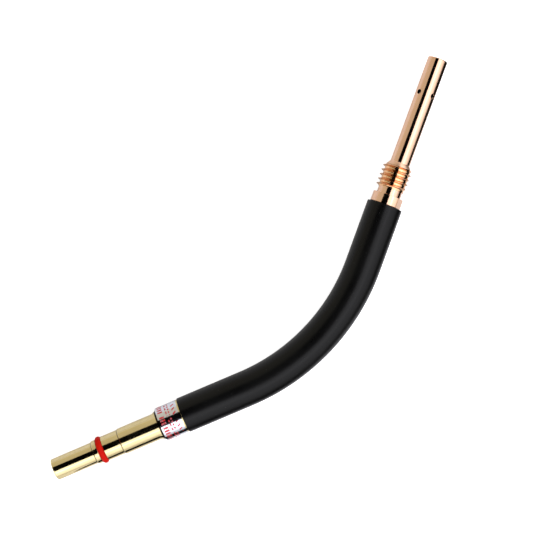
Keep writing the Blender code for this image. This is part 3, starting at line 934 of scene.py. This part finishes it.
spigot_rear = flange_rear - SPIGOT_LENGTH
tap_rear = holder_front - TAP_DEPTH
holder = turn(
    "tip_holder_turned",
    [
        (TAP_RADIUS + TAP_COUNTERSINK, holder_front),
        (HOLDER_RADIUS, holder_front),
        (HOLDER_RADIUS, gas_hole_station + 2 * GAS_HOLE_RADIUS),
        (HOLDER_RADIUS, gas_hole_station - 2 * GAS_HOLE_RADIUS),
        (HOLDER_RADIUS, flange_rear + CONE_LENGTH),
        (FLANGE_RADIUS, flange_rear),
        (SPIGOT_RADIUS, flange_rear),
        (SPIGOT_RADIUS, spigot_rear),
        (BORE_RADIUS, spigot_rear),
        (BORE_RADIUS, tap_rear - (BORE_RADIUS - TAP_RADIUS)),
        (TAP_RADIUS, tap_rear),
        (TAP_RADIUS, holder_front - TAP_COUNTERSINK),
    ],
    HOLDER_SIDES,
)
soften_ring(holder, HOLDER_RADIUS, holder_front, HOLDER_ROUNDING, ROUNDED_END_STEPS)
soften_ring(holder, FLANGE_RADIUS, flange_rear, SHOULDER_EDGE, SHOULDER_EDGE_STEPS)

for pair in range(2):
    deselect_everything()
    bpy.ops.mesh.primitive_cylinder_add(
        vertices=GAS_HOLE_SIDES,
        radius=GAS_HOLE_RADIUS,
        depth=3 * HOLDER_RADIUS,
        location=(0.0, 0.0, gas_hole_station),
        rotation=(0.0, math.pi / 2, GAS_HOLE_TURN + pair * math.pi / 2),
    )
    drill = bpy.context.object
    bpy.ops.object.transform_apply(location=True, rotation=True, scale=True)
    cut_away(holder, drill)

# Each countersink is a 45-degree cone, one chamfer wider than its hole at the stem's surface.
for hole in range(4):
    deselect_everything()
    hole_turn = GAS_HOLE_TURN + hole * math.pi / 2
    bpy.ops.mesh.primitive_cone_add(
        vertices=GAS_HOLE_SIDES,
        radius1=GAS_HOLE_RADIUS - 2 * GAS_HOLE_CHAMFER,
        radius2=GAS_HOLE_RADIUS + 4 * GAS_HOLE_CHAMFER,
        depth=6 * GAS_HOLE_CHAMFER,
        location=(
            HOLDER_RADIUS * math.cos(hole_turn),
            HOLDER_RADIUS * math.sin(hole_turn),
            gas_hole_station,
        ),
        rotation=(0.0, math.pi / 2, hole_turn),
    )
    countersink = bpy.context.object
    bpy.ops.object.transform_apply(location=True, rotation=True, scale=True)
    cut_away(holder, countersink)

tap_mouth = TAP_RADIUS - TAP_OVERLAP
tap_middle = (TAP_OUTER_RADIUS + tap_mouth) / 2
tap_centre = (tap_middle, 0.0, tap_rear + TAP_PITCH)
narrowing = TAP_ROOT_WIDTH / TAP_MOUTH_WIDTH
deselect_everything()
bpy.ops.mesh.primitive_plane_add(size=1.0, location=tap_centre, rotation=(math.pi / 2, 0.0, 0.0))
tap = bpy.context.object
tap.scale = (TAP_OUTER_RADIUS - tap_mouth, TAP_MOUTH_WIDTH, 1.0)
bpy.ops.object.transform_apply(location=True, rotation=True, scale=True)
open_with_selected(tap, lambda point: point.x > tap_middle)
bpy.ops.transform.resize(value=(1.0, 1.0, narrowing), center_override=tap_centre)
bpy.ops.mesh.select_all(action="SELECT")
bpy.ops.mesh.delete(type="ONLY_FACE")
bpy.ops.object.mode_set(mode="OBJECT")
tap_thread = wound_up(
    tap, start_angle=0.0, pitch=TAP_PITCH, turns=TAP_TURNS, steps=TAP_SIDES
)
cut_away(holder, tap_thread)
seat_on_axis(holder, front_origin, heading=BEND_ANGLE)
holder.data.materials.append(copper)
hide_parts("tip_holder")
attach(holder, "root")


# --------------------------------------------------------------------------------------------------
# Studio: the neck lies on a white table under a camera that looks straight down. A bright sheet
# with a row of lamps hangs to its right, and a dimmer, warmer sheet to its left. The black flag
# over the gap between them, and the felt beside the neck, show only in reflections.

TABLE_SIZE = 6.0
CAMERA_HEIGHT = 0.65
VIEW_WIDTH = 0.2193
VIEW_CENTRE = (0.00751, -0.00606)
SENSOR_WIDTH = 0.036
PICTURE_ROLL = math.radians(23.0)

COOL_LIGHT = (1.0, 1.0, 1.05)
WARM_LIGHT = (1.0, 0.93, 0.75)
NO_LIGHT = (0.0, 0.0, 0.0)
FELT_BLACK = (0.01, 0.01, 0.01)
TABLE_WHITE = (0.74, 0.74, 0.74)
TABLE_SEEN = 0.8
TABLE_MIRRORED = 0.06
ROOM_LIGHT = 0.5
ROOM_SEEN = 0.5
ROOM_MIRRORED = 0.25

PLUG_FELT_AHEAD = 0.004
PLUG_FELT_ASIDE = 0.0190
FRONT_FELT_TURN = math.radians(10.5)
FRONT_FELT_ASIDE = 0.0160
FRONT_FELT_BACK = 0.10
SLEEVE_FELT_BACK = 0.074
SLEEVE_FELT_LEFT = 0.034
SLEEVE_FELT_HEIGHT = 0.06
REAR_FELT_BACK = 1.9
REAR_FELT_LEFT = 0.9

straight_up = Vector((0.0, 0.0, 1.0))
rear_direction = Vector((1.0, 0.0, 0.0))
rear_right = Vector((0.0, -1.0, 0.0))
runs_meet = plug_end + rear_direction * (BEND_START + BEND_RADIUS * math.tan(BEND_ANGLE / 2))

camera_data = bpy.data.cameras.new("camera")
camera_data.sensor_width = SENSOR_WIDTH * IN_MILLIMETRES
camera_data.lens = SENSOR_WIDTH * IN_MILLIMETRES * CAMERA_HEIGHT / VIEW_WIDTH
camera = bpy.data.objects.new("camera", camera_data)
bpy.context.scene.collection.objects.link(camera)
camera.location = Vector((*VIEW_CENTRE, plug_end.z)) + straight_up * CAMERA_HEIGHT
camera.rotation_euler = (0.0, 0.0, -PICTURE_ROLL)
bpy.context.scene.camera = camera


def corner_beside(rear_offset, front_offset):
    """Where a line beside the rear run meets one beside the front, by offsets to the right."""
    on_front = runs_meet + front_right * front_offset
    back = (on_front.y - runs_meet.y + rear_offset) / front_direction.y
    return on_front - front_direction * back


def overhead_sheet(
    name, rear_tilts, front_tilts, height, rear_reach, front_reach, near_glow, far_glow, colour
):
    """A level sheet over the neck, bent as the neck is, glowing from its near edge to its far one.

    The tilts, in degrees from straight up and positive to the right, are those at which the rear
    and the front run see its two long edges. The rear reach goes back from the plug's end, and the
    front reach forward from where the two runs would meet.
    """
    deselect_everything()
    bpy.ops.mesh.primitive_grid_add(x_subdivisions=2, y_subdivisions=1, size=2.0)
    sheet = bpy.context.object
    sheet.name = name
    for vertex in sheet.data.vertices:
        edge = 1 if vertex.co.y > 0.0 else 0
        rear_offset = height * math.tan(math.radians(rear_tilts[edge]))
        front_offset = height * math.tan(math.radians(front_tilts[edge]))
        column = round(vertex.co.x)
        if column < 0:
            place = plug_end - rear_direction * rear_reach + rear_right * rear_offset
        elif column > 0:
            place = runs_meet + front_direction * front_reach + front_right * front_offset
        else:
            place = corner_beside(rear_offset, front_offset)
        vertex.co = place + straight_up * height
    glow, _ = new_finish(name, NO_LIGHT, metallic=0.0, roughness=1.0)
    sheet_place = add_node(glow, "ShaderNodeTexCoord", {}).outputs["UV"]
    across = add_node(glow, "ShaderNodeSeparateXYZ", {"Vector": sheet_place}).outputs["Y"]
    strength = between(glow, across, near_glow, far_glow, from_low=0.0, from_high=1.0)
    emission = add_node(glow, "ShaderNodeEmission", {"Color": colour, "Strength": strength})
    surface = glow.node_tree.nodes["Material Output"].inputs["Surface"]
    glow.node_tree.links.new(emission.outputs["Emission"], surface)
    sheet.data.materials.append(glow)
    sheet.visible_camera = False
    return sheet


def seen_in_metal_only(sheet):
    """Leave a black sheet in reflections, and out of everything else."""
    sheet.visible_camera = False
    sheet.visible_diffuse = False
    sheet.visible_shadow = False


overhead_sheet(
    "right_panel",
    rear_tilts=(14.5, 78.0),
    front_tilts=(7.5, 78.0),
    height=0.40,
    rear_reach=2.0,
    front_reach=3.0,
    near_glow=1.70,
    far_glow=0.90,
    colour=COOL_LIGHT,
)
overhead_sheet(
    "left_panel",
    rear_tilts=(-34.5, -80.0),
    front_tilts=(-29.5, -80.0),
    height=0.40,
    rear_reach=2.0,
    front_reach=3.0,
    near_glow=0.60,
    far_glow=0.72,
    colour=WARM_LIGHT,
)
overhead_sheet(
    "lamp_row",
    rear_tilts=(31.0, 41.0),
    front_tilts=(31.0, 41.0),
    height=0.39,
    rear_reach=2.0,
    front_reach=1.1,
    near_glow=2.5,
    far_glow=2.5,
    colour=COOL_LIGHT,
)
black_flag = overhead_sheet(
    "black_flag",
    rear_tilts=(-45.0, 30.0),
    front_tilts=(-45.0, 30.0),
    height=0.43,
    rear_reach=2.5,
    front_reach=1.05,
    near_glow=0.0,
    far_glow=0.0,
    colour=NO_LIGHT,
)
seen_in_metal_only(black_flag)


def black_felt(name, corner, along, right, length, width):
    """A sheet of black felt from a corner. Only reflections see it."""
    deselect_everything()
    bpy.ops.mesh.primitive_plane_add(size=1.0)
    sheet = bpy.context.object
    sheet.name = name
    middle = corner + along * (length / 2) + right * (width / 2)
    sides = Matrix((along * length, -right * width, along.cross(-right)))
    sheet.data.transform(Matrix.Translation(middle) @ sides.transposed().to_4x4())
    felt, felt_shader = new_finish(name, FELT_BLACK, metallic=0.0, roughness=1.0)
    felt_shader.inputs["Specular IOR Level"].default_value = 0.0
    sheet.data.materials.append(felt)
    seen_in_metal_only(sheet)


def on_table(point, lift):
    return Vector((point.x, point.y, lift))


thread_point = front_origin + front_direction * thread_rear
felt_heading = BEND_ANGLE + FRONT_FELT_TURN
felt_along = Vector((math.cos(felt_heading), math.sin(felt_heading), 0.0))
felt_right = Vector((felt_along.y, -felt_along.x, 0.0))
plug_corner = plug_end + rear_direction * PLUG_FELT_AHEAD + rear_right * PLUG_FELT_ASIDE
front_corner = thread_point + front_right * FRONT_FELT_ASIDE - felt_along * FRONT_FELT_BACK
sleeve_corner = (
    thread_point
    - front_direction * SLEEVE_FELT_BACK
    - front_right * SLEEVE_FELT_LEFT
    + straight_up * SLEEVE_FELT_HEIGHT
)
rear_corner = plug_end - rear_direction * REAR_FELT_BACK - rear_right * REAR_FELT_LEFT
black_felt(
    "plug_felt",
    on_table(plug_corner, lift=0.0003),
    along=rear_direction,
    right=rear_right,
    length=1.6,
    width=0.35,
)
black_felt(
    "front_felt",
    on_table(front_corner, lift=0.0005),
    along=felt_along,
    right=felt_right,
    length=0.22,
    width=0.35,
)
black_felt(
    "sleeve_felt",
    sleeve_corner,
    along=front_direction,
    right=front_right,
    length=0.063,
    width=0.042,
)
black_felt(
    "rear_felt",
    on_table(rear_corner, lift=0.001),
    along=straight_up,
    right=rear_right,
    length=0.42,
    width=1.8,
)


def glow_by_ray(finish, camera_share, mirrored_share, plain_share):
    """A glow's strength: plain for every ray, with more for mirrored rays and the camera's."""
    rays = add_node(finish, "ShaderNodeLightPath", {}).outputs
    seen = reckon(finish, "MAXIMUM", rays["Is Glossy Ray"], rays["Is Transmission Ray"])
    mirrored = reckon(finish, "MULTIPLY_ADD", seen, mirrored_share, plain_share)
    return reckon(finish, "MULTIPLY_ADD", rays["Is Camera Ray"], camera_share, mirrored)


deselect_everything()
bpy.ops.mesh.primitive_plane_add(size=TABLE_SIZE)
table = bpy.context.object
table.name = "table"
table_finish, table_shader = new_finish(
    "white_table", TABLE_WHITE, metallic=0.0, roughness=0.6
)
table_links = table_finish.node_tree.links
table_light = glow_by_ray(table_finish, TABLE_SEEN, TABLE_MIRRORED, 0.0)
table_emission = {"Color": (1.0, 1.0, 1.0), "Strength": table_light}
table_glow = add_node(table_finish, "ShaderNodeEmission", table_emission)
table_sum = add_node(
    table_finish,
    "ShaderNodeAddShader",
    {0: table_shader.outputs["BSDF"], 1: table_glow.outputs["Emission"]},
)
table_surface = table_finish.node_tree.nodes["Material Output"].inputs["Surface"]
table_links.new(table_sum.outputs["Shader"], table_surface)
table.data.materials.append(table_finish)

world = bpy.data.worlds.new("studio")
world.use_nodes = True
bpy.context.scene.world = world
background = world.node_tree.nodes["Background"]
background.inputs["Color"].default_value = (1.0, 1.0, 1.0, 1.0)
world_light = glow_by_ray(world, ROOM_SEEN, ROOM_MIRRORED, ROOM_LIGHT)
world.node_tree.links.new(world_light, background.inputs["Strength"])

bpy.context.scene.view_settings.view_transform = "Standard"
